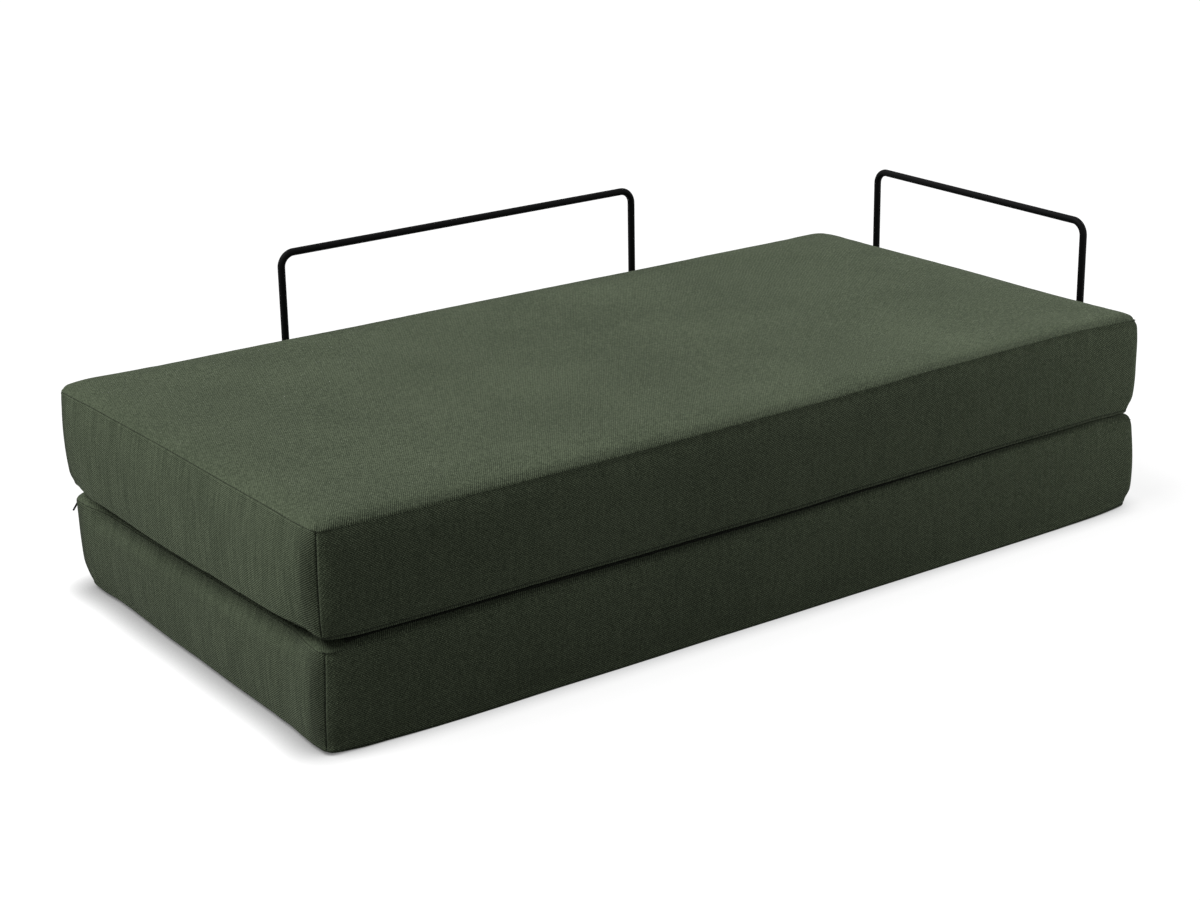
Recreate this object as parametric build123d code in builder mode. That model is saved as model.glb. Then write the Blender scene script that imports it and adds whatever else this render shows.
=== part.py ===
# Sofa bed made of two boxed mattresses, one folded back on top of the other,
# with two bent steel rails whose flat feet lie under the lower mattress.
# Millimetres. +X runs along the seat to the right, -Y is the front, +Z is up.
# The origin is on the floor, in the middle of the lower mattress.

import os
from math import atan2, cos, degrees, radians, sin, tan

from build123d import *

os.makedirs("parts", exist_ok=True)

# Mattresses: the outline is measured between the corner seams
mattress_length = 2000.0
mattress_depth = 1000.0
corner_radius = 22.0
corner_seam_angle = 45.0
side_bulge = 8.0
fold_height = 210.0
seat_height = 424.0
contact_gap = 0.3

# Height from each sewn edge to the flat face beyond it, and the width of the slope
lower_bottom_rise = 12.0
lower_top_drop = 14.0
upper_bottom_rise = 8.0
upper_top_drop = 10.0
floor_slope_run = 45.0
fold_slope_run = 90.0
seat_slope_run = 160.0

# How a padded face climbs from its seam to its flat middle
slope_height_shares = (0.0, 0.55, 0.88, 1.0)
slope_run_shares = (0.0, 0.1, 0.45, 1.0)
corner_growth_share = 0.5

# Cover, padding and foam
cover_thickness = 2.0
filling_gap = 0.3
cut_margin = 5.0

# Zip along the rear of each cover
zip_tape_height = 26.0
zip_skin_gap = 0.1
zip_tooth_height = 1.2
zip_tooth_width = 5.0
slider_length = 12.0
slider_width = 9.0
slider_roof = 1.4
slider_gap = 0.25
slider_overrun = 4.0
bail_length = 6.0
bail_height = 4.0
bail_width = 3.0
bail_pin_radius = 0.9
pull_eye_radius = 2.4
pull_eye_gap = 0.25
pull_neck_width = 2.2
pull_neck_length = 5.0
pull_length = 38.0
pull_width = 4.0
pull_thickness = 1.6
pull_lean = 30.0
pull_skew = 16.0

# Fabric hinge in the front gap
hinge_strip_thickness = 1.6
hinge_strip_gap = 0.5
hinge_strip_tuck = 5.0
hinge_strip_margin = 30.0

# Rails of bent round steel
rod_diameter = 16.0
rail_stand_off = 20.0
rail_bend_radius = 30.0
back_rail_left = -475.0
back_rail_right = 437.0
back_rail_height = 597.0
arm_rail_front = -299.0
arm_rail_rear = 359.0
arm_rail_height = 585.0

# Feet of flat bar, the screws up into the rods, and the pads under the feet
foot_length = 400.0
foot_width = 60.0
foot_thickness = 5.0
foot_overhang = 14.0
foot_corner_radius = 13.0
foot_side_clearance = 0.5
foot_top_clearance = 0.3
pad_diameter = 36.0
pad_thickness = 2.0
pad_inset = 34.0
screw_diameter = 8.0
screw_head_diameter = 15.0
screw_length = 22.0
screw_hole_clearance = 0.2
screw_seat_clearance = 0.05
screw_cone_angle = 90.0
screw_key_width = 5.0
screw_key_depth = 2.5

# Sizes worked out from the ones above
half_length = mattress_length / 2
half_depth = mattress_depth / 2
straight_end_x = half_length - corner_radius
corner_seam_x = straight_end_x + corner_radius * sin(radians(corner_seam_angle))
lower_top = fold_height - contact_gap / 2
upper_bottom = fold_height + contact_gap / 2
lower_seams = (lower_bottom_rise, lower_top - lower_top_drop)
upper_seams = (upper_bottom + upper_bottom_rise, seat_height - upper_top_drop)
rod_radius = rod_diameter / 2
back_rail_y = half_depth + side_bulge + rail_stand_off + rod_radius
arm_rail_x = half_length + side_bulge + rail_stand_off + rod_radius
foot_top = pad_thickness + foot_thickness


def padded_face(seam_z, face_z, slope_run, skin):
    """A padded face as a solid, from its seam plane to its flat middle, drawn in by skin all round."""
    inner_face_z = face_z - skin if face_z > seam_z else face_z + skin
    with BuildPart() as form:
        for height_share, run_share in zip(slope_height_shares, slope_run_shares):
            inset = skin + slope_run * run_share
            level = seam_z + (inner_face_z - seam_z) * height_share
            radius = corner_radius - skin + slope_run * run_share * corner_growth_share
            with BuildSketch(Plane.XY.offset(level)):
                RectangleRounded(mattress_length - 2 * inset, mattress_depth - 2 * inset, radius)
        loft()
    return form.part


def bulged_band(seams, skin):
    """The box of the mattress between its two seam planes, bulged outwards at half height."""
    low_z, high_z = seams
    with BuildPart() as form:
        for level, bulge in ((low_z, 0.0), ((low_z + high_z) / 2, side_bulge), (high_z, 0.0)):
            inset = skin - bulge
            outline = (mattress_length - 2 * inset, mattress_depth - 2 * inset)
            with BuildSketch(Plane.XY.offset(level)):
                RectangleRounded(*outline, corner_radius - inset)
        loft()
    return form.part


def band_lean(seams, level):
    """Depth of the rear band's surface at a height, and the angle by which it leans back there."""
    middle = (seams[0] + seams[1]) / 2
    half_band = (seams[1] - seams[0]) / 2
    share = (level - middle) / half_band
    depth = half_depth + side_bulge * (1 - share * share)
    slope = 2 * side_bulge * share / half_band
    return depth, degrees(atan2(slope, 1))


def foot_slots(clearance, ceiling):
    """The four hollows that the rail feet press into the underside of the lower mattress."""
    width = foot_width + 2 * clearance
    reach = foot_length + clearance
    with BuildPart() as slots:
        with BuildSketch(Plane.XY.offset(-cut_margin)):
            for leg_x in (back_rail_left, back_rail_right):
                outer = back_rail_y + foot_overhang
                with Locations((leg_x, outer - reach / 2)):
                    Rectangle(width, reach)
            for leg_y in (arm_rail_front, arm_rail_rear):
                outer = arm_rail_x + foot_overhang
                with Locations((outer - reach / 2, leg_y)):
                    Rectangle(reach, width)
        extrude(amount=ceiling + cut_margin)
    return slots.part


def write(piece, name):
    """Label a finished piece and write it as one file."""
    piece.part.label = name
    export_step(piece.part, f"parts/{name}.step")


def make_panel(name, seam_z, face_z, slope_run, slots=None, slots_inside=None):
    """A sewn face of the cover: a shallow dish of cloth from the seam to the flat middle."""
    inside = padded_face(seam_z, face_z, slope_run, cover_thickness)
    if slots_inside:
        inside -= slots_inside
    with BuildPart() as panel:
        add(padded_face(seam_z, face_z, slope_run, 0.0))
        if slots:
            add(slots, mode=Mode.SUBTRACT)
        add(inside, mode=Mode.SUBTRACT)
    write(panel, name)


def make_padding(name, seam_z, face_z, slope_run, slots=None):
    """The soft wadding that fills a sewn face."""
    with BuildPart() as padding:
        add(padded_face(seam_z, face_z, slope_run, cover_thickness + filling_gap))
        if slots:
            add(slots, mode=Mode.SUBTRACT)
    write(padding, name)


def make_foam(name, seams):
    """The foam slab between the two seam planes."""
    with BuildPart() as foam:
        add(bulged_band(seams, cover_thickness + filling_gap))
    write(foam, name)


def cut_window(low, high):
    """Keep only what lies between two opposite corners."""
    middle = tuple((a + b) / 2 for a, b in zip(low, high))
    with Locations(middle):
        Box(*(b - a for a, b in zip(low, high)), mode=Mode.INTERSECT)


def make_bands(mattress, seams, tape):
    """The four cloth bands, sewn together at the corners; the rear one leaves room for the zip tape."""
    cloth = bulged_band(seams, 0.0) - bulged_band(seams, cover_thickness)
    reach_x = half_length + side_bulge + cut_margin
    reach_y = half_depth + side_bulge + cut_margin
    low_z, high_z = seams
    band_under_tape = tape[0] > low_z
    rear_low, rear_high = (low_z, tape[0]) if band_under_tape else (tape[1], high_z)
    windows = {
        "front_band": ((-corner_seam_x, -reach_y, low_z), (corner_seam_x, 0.0, high_z)),
        "rear_band": ((-corner_seam_x, 0.0, rear_low), (corner_seam_x, reach_y, rear_high)),
        "left_band": ((-reach_x, -reach_y, low_z), (-corner_seam_x, reach_y, high_z)),
        "right_band": ((corner_seam_x, -reach_y, low_z), (reach_x, reach_y, high_z)),
        "zip_tape": ((-corner_seam_x, 0.0, tape[0]), (corner_seam_x, reach_y, tape[1])),
    }
    for piece, (low, high) in windows.items():
        with BuildPart() as band:
            add(cloth)
            cut_window(low, high)
        write(band, f"{mattress}_{piece}")


def make_zip_teeth(mattress, seams, level):
    """The closed row of teeth, standing a little proud of the tape along its middle."""
    skin = -(zip_skin_gap + zip_tooth_height)
    reach_y = half_depth + side_bulge + cut_margin
    with BuildPart() as teeth:
        add(bulged_band(seams, skin) - bulged_band(seams, -zip_skin_gap))
        cut_window(
            (-straight_end_x, 0.0, level - zip_tooth_width / 2),
            (straight_end_x, reach_y, level + zip_tooth_width / 2),
        )
    write(teeth, f"{mattress}_zip_teeth")


def zip_plane(seams, level, centre_x):
    """Plane on the rear band at the zip: x runs along the zip, z points out of the cloth."""
    depth, lean = band_lean(seams, level)
    return Plane(
        origin=(centre_x, depth, level),
        x_dir=(1, 0, 0),
        z_dir=(0, cos(radians(lean)), sin(radians(lean))),
    )


def make_slider(mattress, seams, level, centre_x):
    """Zip slider: a roof over the teeth with two cheeks, and a bail that carries the pull."""
    seat = zip_plane(seams, level, centre_x)
    cheek_height = zip_skin_gap + zip_tooth_height + slider_gap
    top = cheek_height + slider_roof
    bail_middle = seat.from_local_coords(Vector(0, 0, top + bail_height))
    channel = zip_tooth_width + 2 * slider_gap
    with BuildPart() as slider:
        with BuildSketch(seat.offset(slider_gap)):
            RectangleRounded(slider_length, slider_width, slider_width / 4)
        extrude(amount=top - slider_gap)
        with BuildSketch(seat):
            Rectangle(slider_length * 2, channel)
        extrude(amount=cheek_height, mode=Mode.SUBTRACT)
        with BuildSketch(seat.offset(top)):
            with Locations((bail_length / 2, 0), (-bail_length / 2, 0)):
                Rectangle(bail_pin_radius * 2, bail_width)
        extrude(amount=bail_height)
        bar = Plane(origin=bail_middle, x_dir=seat.y_dir, z_dir=(1, 0, 0))
        with BuildSketch(bar):
            Circle(bail_pin_radius)
        extrude(amount=bail_length / 2 + bail_pin_radius, both=True)
    write(slider, f"{mattress}_zip_slider")
    return bail_middle


def make_pull(mattress, pivot, skew_side):
    """Zip pull: an eye round the bail and a slim tab, leaning out and hanging askew."""
    lean = radians(pull_lean)
    skew = radians(pull_skew) * skew_side
    down = Vector(sin(skew), sin(lean) * cos(skew), -cos(lean) * cos(skew))
    hang = Plane(origin=pivot, x_dir=(0, 1, 0), z_dir=(1, 0, 0))
    face_out = down.cross(Vector(1, 0, 0)).normalized()
    tab = Plane(origin=pivot, x_dir=down, z_dir=face_out)
    eye_hole = bail_pin_radius + pull_eye_gap
    with BuildPart() as pull:
        with BuildSketch(hang):
            Circle(pull_eye_radius)
        extrude(amount=bail_width / 2 - pull_eye_gap, both=True)
        with BuildSketch(tab):
            with Locations((pull_neck_length / 2, 0)):
                Rectangle(pull_neck_length, pull_neck_width)
            with Locations(((pull_neck_length + pull_length - pull_neck_width) / 2, 0)):
                SlotOverall(pull_length - pull_neck_length + pull_neck_width, pull_width)
        extrude(amount=pull_thickness / 2, both=True)
        with BuildSketch(hang):
            Circle(eye_hole)
        extrude(amount=pull_length, both=True, mode=Mode.SUBTRACT)
    write(pull, f"{mattress}_zip_pull")


def make_zip(mattress, seams, tape, end_side):
    """Teeth, slider and pull of one zip, the slider parked at one end of the row."""
    level = (tape[0] + tape[1]) / 2
    make_zip_teeth(mattress, seams, level)
    parked_x = end_side * (straight_end_x - slider_length / 2 + slider_overrun)
    pivot = make_slider(mattress, seams, level, parked_x)
    make_pull(mattress, pivot, end_side)


def make_lower_mattress():
    """Lower mattress: it lies on the floor, and its underside is hollowed by the rail feet."""
    low_z, high_z = lower_seams
    ceiling = foot_top + foot_top_clearance
    slots = foot_slots(foot_side_clearance, ceiling)
    cloth_slots = foot_slots(foot_side_clearance + cover_thickness, ceiling + cover_thickness)
    fill_reach = cover_thickness + filling_gap
    fill_slots = foot_slots(foot_side_clearance + fill_reach, ceiling + fill_reach)
    make_panel("lower_bottom_panel", low_z, 0.0, floor_slope_run, slots, cloth_slots)
    make_panel("lower_top_panel", high_z, lower_top, fold_slope_run)
    make_padding("lower_bottom_padding", low_z, 0.0, floor_slope_run, fill_slots)
    make_padding("lower_top_padding", high_z, lower_top, fold_slope_run)
    make_foam("lower_foam_core", lower_seams)
    tape = (high_z - zip_tape_height, high_z)
    make_bands("lower", lower_seams, tape)
    make_zip("lower", lower_seams, tape, -1)


def make_upper_mattress():
    """Upper mattress: it turns over forwards about the front edge to make the bed."""
    low_z, high_z = upper_seams
    make_panel("upper_bottom_panel", low_z, upper_bottom, fold_slope_run)
    make_panel("upper_top_panel", high_z, seat_height, seat_slope_run)
    make_padding("upper_bottom_padding", low_z, upper_bottom, fold_slope_run)
    make_padding("upper_top_padding", high_z, seat_height, seat_slope_run)
    make_foam("upper_foam_core", upper_seams)
    tape = (low_z, low_z + zip_tape_height)
    make_bands("upper", upper_seams, tape)
    make_zip("upper", upper_seams, tape, 1)


def make_hinge_strip():
    """Cloth strip sewn between the two front seams, tucked a little into the gap."""
    low = lower_seams[1]
    high = upper_seams[0]
    mouth = -(half_depth + hinge_strip_gap)
    strip_length = 2 * (straight_end_x - hinge_strip_margin)
    with BuildPart() as strip:
        with BuildSketch(Plane.YZ.offset(-strip_length / 2)):
            with BuildLine():
                tuck = mouth + hinge_strip_tuck
                middle = (low + high) / 2
                Line((mouth - hinge_strip_thickness, low), (mouth, low))
                ThreePointArc((mouth, low), (tuck, middle), (mouth, high))
                Line((mouth, high), (mouth - hinge_strip_thickness, high))
                ThreePointArc(
                    (mouth - hinge_strip_thickness, high),
                    (tuck - hinge_strip_thickness, middle),
                    (mouth - hinge_strip_thickness, low),
                )
            make_face()
        extrude(amount=strip_length)
    write(strip, "hinge_strip")


def make_rail_loop(name, corners, foot_ends):
    """Round steel rod bent into an upturned U, tapped at the foot of each leg."""
    left_foot, left_top, right_top, right_foot = corners
    start = Plane(origin=left_foot, z_dir=(0, 0, 1))
    with BuildPart() as loop:
        with BuildLine() as path:
            FilletPolyline(left_foot, left_top, right_top, right_foot, radius=rail_bend_radius)
        with BuildSketch(start):
            Circle(rod_radius)
        sweep(path=path.wires()[0])
        tap_radius = screw_diameter / 2 + screw_seat_clearance
        for foot in foot_ends:
            with BuildSketch(Plane(origin=foot, z_dir=(0, 0, 1))):
                Circle(tap_radius)
            extrude(amount=screw_length, mode=Mode.SUBTRACT)
    write(loop, name)


def make_feet(name, feet):
    """Flat bar feet, each countersunk from below under its leg."""
    with BuildPart() as bars:
        for leg, inward in feet:
            middle = Vector(*leg) + Vector(*inward) * (foot_length / 2 - foot_overhang)
            turned = Plane(origin=(middle.X, middle.Y, pad_thickness), x_dir=inward, z_dir=(0, 0, 1))
            with BuildSketch(turned):
                RectangleRounded(foot_length, foot_width, foot_corner_radius)
            extrude(amount=foot_thickness)
            below = Plane(origin=(leg[0], leg[1], pad_thickness), z_dir=(0, 0, -1))
            with Locations(below):
                CounterSinkHole(
                    screw_diameter / 2 + screw_hole_clearance,
                    screw_head_diameter / 2 + screw_hole_clearance,
                    counter_sink_angle=screw_cone_angle,
                )
    write(bars, name)


def make_screws(name, legs):
    """Countersunk screws, flush with the underside of the feet, with a six-sided key hole."""
    head_height = (screw_head_diameter - screw_diameter) / 2 / tan(radians(screw_cone_angle / 2))
    shank = screw_diameter / 2
    head = screw_head_diameter / 2
    with BuildPart() as screws:
        for leg in legs:
            side = Plane(origin=(leg[0], leg[1], pad_thickness), x_dir=(1, 0, 0), z_dir=(0, -1, 0))
            with BuildSketch(side):
                with BuildLine():
                    Polyline(
                        (0, 0), (head, 0), (shank, head_height),
                        (shank, screw_length), (0, screw_length), (0, 0),
                    )
                make_face()
            revolve(axis=Axis((leg[0], leg[1], 0), (0, 0, 1)))
            with BuildSketch(Plane(origin=(leg[0], leg[1], pad_thickness), z_dir=(0, 0, 1))):
                RegularPolygon(screw_key_width / 2, 6, major_radius=False)
            extrude(amount=screw_key_depth, mode=Mode.SUBTRACT)
    write(screws, name)


def make_pads(name, feet):
    """Round rubber pads under each foot, one near each end."""
    with BuildPart() as pads:
        with BuildSketch(Plane.XY):
            for leg, inward in feet:
                for reach in (pad_inset, foot_length - foot_overhang - pad_inset):
                    with Locations((leg[0] + inward[0] * reach, leg[1] + inward[1] * reach)):
                        Circle(pad_diameter / 2)
        extrude(amount=pad_thickness)
    write(pads, name)


def make_rail(name, legs, inward, height):
    """One rail: its loop, feet, screws and pads."""
    first, second = legs
    corners = (
        (first[0], first[1], foot_top),
        (first[0], first[1], height),
        (second[0], second[1], height),
        (second[0], second[1], foot_top),
    )
    feet = [(leg, inward) for leg in legs]
    make_rail_loop(f"{name}_loop", corners, (corners[0], corners[3]))
    make_feet(f"{name}_feet", feet)
    make_screws(f"{name}_screws", legs)
    make_pads(f"{name}_floor_pads", feet)


make_lower_mattress()
make_upper_mattress()
make_hinge_strip()
back_legs = ((back_rail_left, back_rail_y), (back_rail_right, back_rail_y))
arm_legs = ((arm_rail_x, arm_rail_front), (arm_rail_x, arm_rail_rear))
make_rail("back_rail", back_legs, (0, -1, 0), back_rail_height)
make_rail("arm_rail", arm_legs, (-1, 0, 0), arm_rail_height)
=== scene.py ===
"""Looks of the folding sofa bed: two boxed mattresses in green ribbed cloth, and two bent steel rails.

Metres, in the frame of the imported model: +X along the seat to the right, -Y the front, +Z up.
"""
import math

import bpy
import numpy as np
from mathutils import Matrix, Vector


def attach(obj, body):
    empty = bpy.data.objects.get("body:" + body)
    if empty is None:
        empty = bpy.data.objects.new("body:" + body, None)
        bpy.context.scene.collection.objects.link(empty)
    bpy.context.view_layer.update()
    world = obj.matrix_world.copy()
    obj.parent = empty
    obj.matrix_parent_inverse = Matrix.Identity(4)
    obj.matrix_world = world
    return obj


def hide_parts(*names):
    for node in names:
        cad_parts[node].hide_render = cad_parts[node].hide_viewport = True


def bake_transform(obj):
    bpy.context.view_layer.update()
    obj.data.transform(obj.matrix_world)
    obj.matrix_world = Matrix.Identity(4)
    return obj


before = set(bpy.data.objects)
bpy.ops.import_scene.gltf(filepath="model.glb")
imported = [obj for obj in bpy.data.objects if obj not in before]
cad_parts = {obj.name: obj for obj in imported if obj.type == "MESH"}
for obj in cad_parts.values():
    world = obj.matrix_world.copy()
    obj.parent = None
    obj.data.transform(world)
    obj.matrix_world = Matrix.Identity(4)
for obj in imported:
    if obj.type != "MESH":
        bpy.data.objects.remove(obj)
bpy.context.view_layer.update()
scene = bpy.context.scene

MM = 0.001
TURN = 2 * math.pi


def mm(*values):
    """Millimetres as metres."""
    return tuple(value * MM for value in values)


# Mattress outline between the corner seams, and the rails with their feet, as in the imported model
HALF_LENGTH, HALF_DEPTH, CORNER = 1.0, 0.5, 22 * MM
CORE_X, CORE_Y = HALF_LENGTH - CORNER, HALF_DEPTH - CORNER
BACK_LEGS_X, BACK_RAIL_Y, BACK_RAIL_TOP = mm(-475, 437), 536 * MM, 600 * MM
ARM_LEGS_Y, ARM_RAIL_X, ARM_RAIL_TOP = mm(-299, 359), 1036 * MM, 588 * MM
FOOT_TOP, FOOT_OVERHANG, ROD_RADIUS, ROD_BEND = mm(7, 14, 8, 30)
HOLLOW_TOP, HOLLOW_HALF, HOLLOW_REACH = mm(7.6, 30.5, 400.5)
HOLLOW_END_X = ARM_RAIL_X + FOOT_OVERHANG - HOLLOW_REACH
HOLLOW_END_Y = BACK_RAIL_Y + FOOT_OVERHANG - HOLLOW_REACH

# Heights of the seams and faces. Rolls, the widths over which a face climbs from its seam: underside, top, top
# at the front, top at the left end. An end says how far the band's foot and head stand outside the outline at its
# front, then at its rear, then what its middle adds, and last the swell between foot and head. Corners go left
# front, right front, left rear, right rear: pinch of the upright seam, pull of the foot inwards and its height,
# and nip of the head inwards
MATTRESSES = {
    "lower": {
        "body": "base", "seed": 11,
        "floor": 0.2 * MM, "low_seam": 1.5 * MM, "high_seam": 194.5 * MM, "face": 209.85 * MM,
        "rolls": mm(8, 13, 30, 40),
        "left_end": (mm(8, -1), mm(-12, -2), mm(-12, -8), 0),
        "right_end": (mm(15, 9), mm(8, 5), mm(0, 0), 4 * MM),
        "pinch": mm(8, 3, 6, 5), "pull": mm(6, 8, 10, 10), "pull_height": mm(60, 34, 60, 60),
        "nip": mm(4, 2, 0, 2),
    },
    "upper": {
        "body": "upper_mattress", "seed": 23,
        "floor": 210.15 * MM, "low_seam": 217 * MM, "high_seam": 414.5 * MM, "face": 427 * MM,
        "rolls": mm(7, 16, 34, 16),
        "left_end": (mm(4, 3), mm(3, 10), mm(4, -4), 2 * MM),
        "right_end": (mm(5, 9), mm(3, 6), mm(0, 0), 5 * MM),
        "pinch": mm(8, 4, 6, 5), "pull": mm(3, 4, 5, 0), "pull_height": mm(30, 30, 30, 30),
        "nip": mm(2, 6, 2, 4),
    },
}
# How far the upper face's four corners stand above its level, in the same order
SEAT_TWIST = mm(1, 7, 7, -3)
# Lift of the upper mattress's foot along its left end, of its upper seam along the front, and of the contact
# between the mattresses under the front edge
LEFT_FOOT_Y = (-0.5, -0.44, -0.38, -0.27, -0.16, -0.04, 0.21, 0.34, 0.45, 0.5)
LEFT_FOOT_LIFT = mm(4, 11, 12.5, 11.5, 9.5, 6.5, 7, 9, 9.5, 8)
FRONT_SEAM_X = (-1.0, -0.7, -0.4, -0.15, 0.1, 0.25, 0.4, 0.6, 0.8, 0.92, 1.0)
FRONT_SEAM_LIFT = mm(2.5, -2.5, -3, 0, 0, 3, 8, 9.5, 9, 5, 2)
CONTACT_X = (-1.0, 0.05, 0.25, 0.45, 0.66, 0.88, 0.95, 1.0)
CONTACT_LIFT = mm(0, 0, 2.5, 5, 7.5, 9, 6, 4)
CONTACT_LEVEL = 210 * MM
# How far each foot's seam rises along the rear, and the height of the zip there
REAR_RISE = {"lower": 3.5 * MM, "upper": 1 * MM}
ZIP_LEVEL = {"lower": 182.85 * MM, "upper": 231.15 * MM}


def ease(t):
    """Smooth step: 3t^2 - 2t^3 between 0 and 1, flat outside."""
    t = np.clip(t, 0.0, 1.0)
    return t * t * (3 - 2 * t)


def hump(distance, width):
    """Bell curve: e to the minus (distance over width) squared."""
    return np.exp(-((distance / width) ** 2))


def unit(vectors):
    """Vectors over their own lengths."""
    return vectors / np.linalg.norm(vectors, axis=-1, keepdims=True)


def waves(points, wavelength, seed, count=14):
    """Sum of count plane waves of random direction and phase through the points, scaled to about -1..1."""
    draw = np.random.default_rng(seed)
    directions = unit(draw.normal(size=(count, 3)))
    lengths = wavelength * draw.uniform(0.7, 1.4, count)
    phases = draw.uniform(0, TURN, count)
    angles = points @ (directions / lengths[:, None]).T * TURN + phases
    return np.sin(angles).sum(axis=-1) / math.sqrt(count)


def table(x, places, values):
    """Value at x between the table's places, eased from one to the next."""
    place = np.interp(x, places, np.arange(len(places)))
    first = np.clip(np.floor(place).astype(int), 0, len(places) - 2)
    share = ease(place - first)
    values = np.asarray(values)
    return values[first] * (1 - share) + values[first + 1] * share


def cubic_weights(new, old, closed=False):
    """Matrix that carries values at old parameters to new ones by Catmull-Rom curves through them."""
    place = np.interp(new, old, np.arange(len(old)))
    count = len(old) - 1 if closed else len(old)
    base = np.floor(place).astype(int)
    t = place - base
    shares = (
        -0.5 * t + t**2 - 0.5 * t**3,
        1 - 2.5 * t**2 + 1.5 * t**3,
        0.5 * t + 2 * t**2 - 1.5 * t**3,
        -0.5 * t**2 + 0.5 * t**3,
    )
    weights = np.zeros((len(new), count))
    for offset, share in enumerate(shares, -1):
        column = (base + offset) % count if closed else np.clip(base + offset, 0, count - 1)
        np.add.at(weights, (np.arange(len(new)), column), share)
    return weights


def smoothed(grid):
    """Each inner value becomes a quarter of its two neighbours and a half of itself, along both sides in turn."""
    grid = grid.copy()
    for _ in range(2):
        grid[1:-1] = grid[1:-1] / 2 + (grid[:-2] + grid[2:]) / 4
        grid[:, 1:-1] = grid[:, 1:-1] / 2 + (grid[:, :-2] + grid[:, 2:]) / 4
    return grid


def new_object(name, data):
    """New object of the scene that shows the data."""
    thing = bpy.data.objects.new(name, data)
    scene.collection.objects.link(thing)
    return thing


def mesh_object(name, vertices, faces, uv=None):
    """New object at the origin whose mesh has these vertices and faces; uv holds one pair a face corner."""
    mesh = bpy.data.meshes.new(name)
    mesh.from_pydata(np.asarray(vertices, float).reshape(-1, 3).tolist(), [], [list(map(int, f)) for f in faces])
    if uv is not None:
        layer = mesh.uv_layers.new(name="cloth")
        layer.data.foreach_set("uv", np.asarray(uv, np.float32).ravel())
    mesh.polygons.foreach_set("use_smooth", [True] * len(mesh.polygons))
    mesh.update()
    return new_object(name, mesh)


def give_numbers(thing, key, values):
    """One number a vertex, under the name that a paint reads it by."""
    layer = thing.data.attributes.new(key, "FLOAT", "POINT")
    layer.data.foreach_set("value", np.asarray(values, np.float32))


def positions(thing):
    """The vertices of an object's mesh, one row each."""
    numbers = np.empty(len(thing.data.vertices) * 3)
    thing.data.vertices.foreach_get("co", numbers)
    return numbers.reshape(-1, 3)


def dress(thing, body, slot, *paints):
    """Ride on a body and wear the paints; the slot is not used."""
    for paint in paints:
        thing.data.materials.append(paint)
    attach(thing, body)
    return thing


def grid_faces(rows, columns, closed=False):
    """Quads of a grid of rows by columns vertices, row by row, wound so that the normal is column x row."""
    r, c = np.meshgrid(np.arange(rows - 1), np.arange(columns if closed else columns - 1), indexing="ij")
    here, right = r * columns + c, r * columns + (c + 1) % columns
    return np.stack([here, right, right + columns, here + columns], -1).reshape(-1, 4)


def cells(grid):
    """The four corner values of each cell of a grid, in order round it."""
    return np.stack([grid[:-1, :-1], grid[1:, :-1], grid[1:, 1:], grid[:-1, 1:]], 2)


SEAM_INSETS = np.array([0, 1.2, 2.6, 4.6, 7.5, 11, 15, 20, 27, 36]) * MM
SEAM_ROWS = np.array([0, 1.2, 2.6, 4.6, 8, 13, 20]) * MM
COARSE_INSETS, COARSE_ROWS = np.array([0, 8, 22, 38]) * MM, 11
FINE_STEP, COARSE_STEP, HOLLOW_WALL = mm(9.5, 20, 1.5)
GROOVE_DEPTH, GROOVE_WIDTH, WELT, BULGE, REAR_BULGE = mm(1.3, 1.2, 2.2, 6, 8)
# How far from its seam each small pull of the cloth reaches, and how far from its middle the zip keeps it flat
PINCH_REACH, PULL_REACH, NIP_REACH, RIM_REACH = mm(24, 50, 22, 45)
NIP_HEIGHT, FOOT_HEIGHT, ZIP_REACH = mm(16, 24, 22)
RIPPLE_LENGTH, RIPPLE_REACH, TIP_REACH = mm(45, 22, 70)
# A distance from the nearest seam at which nothing of the seam is seen
FAR = 0.1
CLOTH_FRAMES, CLOTH_CAP = 18, 3.5 * MM
# Swell past which the front bands give way, and by how much at most; most that the seat rises over its level
FRONT_FREE, FRONT_GIVE, CROWN = mm(5, 3, 18)


def spaced(half, insets, step, extra=()):
    """Lines across a side: the insets from both edges, even steps between them, and the extra ones."""
    inner = half - insets[-1]
    even = np.linspace(-inner, inner, round(2 * inner / step) + 1)
    even = even[np.abs(even[:, None] - extra).min(axis=1, initial=1) > 0.3 * step]
    return np.unique(np.round(np.concatenate([-half + insets, half - insets, even, extra]), 6))


def hollow_lines(middles, end):
    """Pairs of close lines at the two walls of each foot hollow, and at its far end."""
    walls = [m + side * (HOLLOW_HALF + wall) for m in middles for side in (-1, 1) for wall in (0, HOLLOW_WALL)]
    return walls + [end, end - HOLLOW_WALL]


def row_shares(mattress):
    """Heights of the band's rows as shares, closer together at the seams."""
    height = MATTRESSES[mattress]["high_seam"] - MATTRESSES[mattress]["low_seam"]
    last = SEAM_ROWS[-1]
    inner = np.linspace(last, height - last, round((height - 2 * last) / FINE_STEP) + 1)
    return np.unique(np.round(np.concatenate([SEAM_ROWS, inner, height - SEAM_ROWS]) / height, 5))


def round_corners(x, y):
    """Push the square corners in to quarter circles: each square ring about the corner's centre becomes an arc."""
    over_x, over_y = np.maximum(np.abs(x) - CORE_X, 0), np.maximum(np.abs(y) - CORE_Y, 0)
    reach = np.hypot(over_x, over_y)
    factor = np.where(reach > 0, np.maximum(over_x, over_y) / np.maximum(reach, 1e-9), 1.0)
    return (
        np.sign(x) * (np.minimum(np.abs(x), CORE_X) + over_x * factor),
        np.sign(y) * (np.minimum(np.abs(y), CORE_Y) + over_y * factor),
    )


def at_corners(values, x, y):
    """One value by corner: left front, right front, left rear, right rear."""
    return np.asarray(values)[(x >= 0) + 2 * (y >= 0)]


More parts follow.
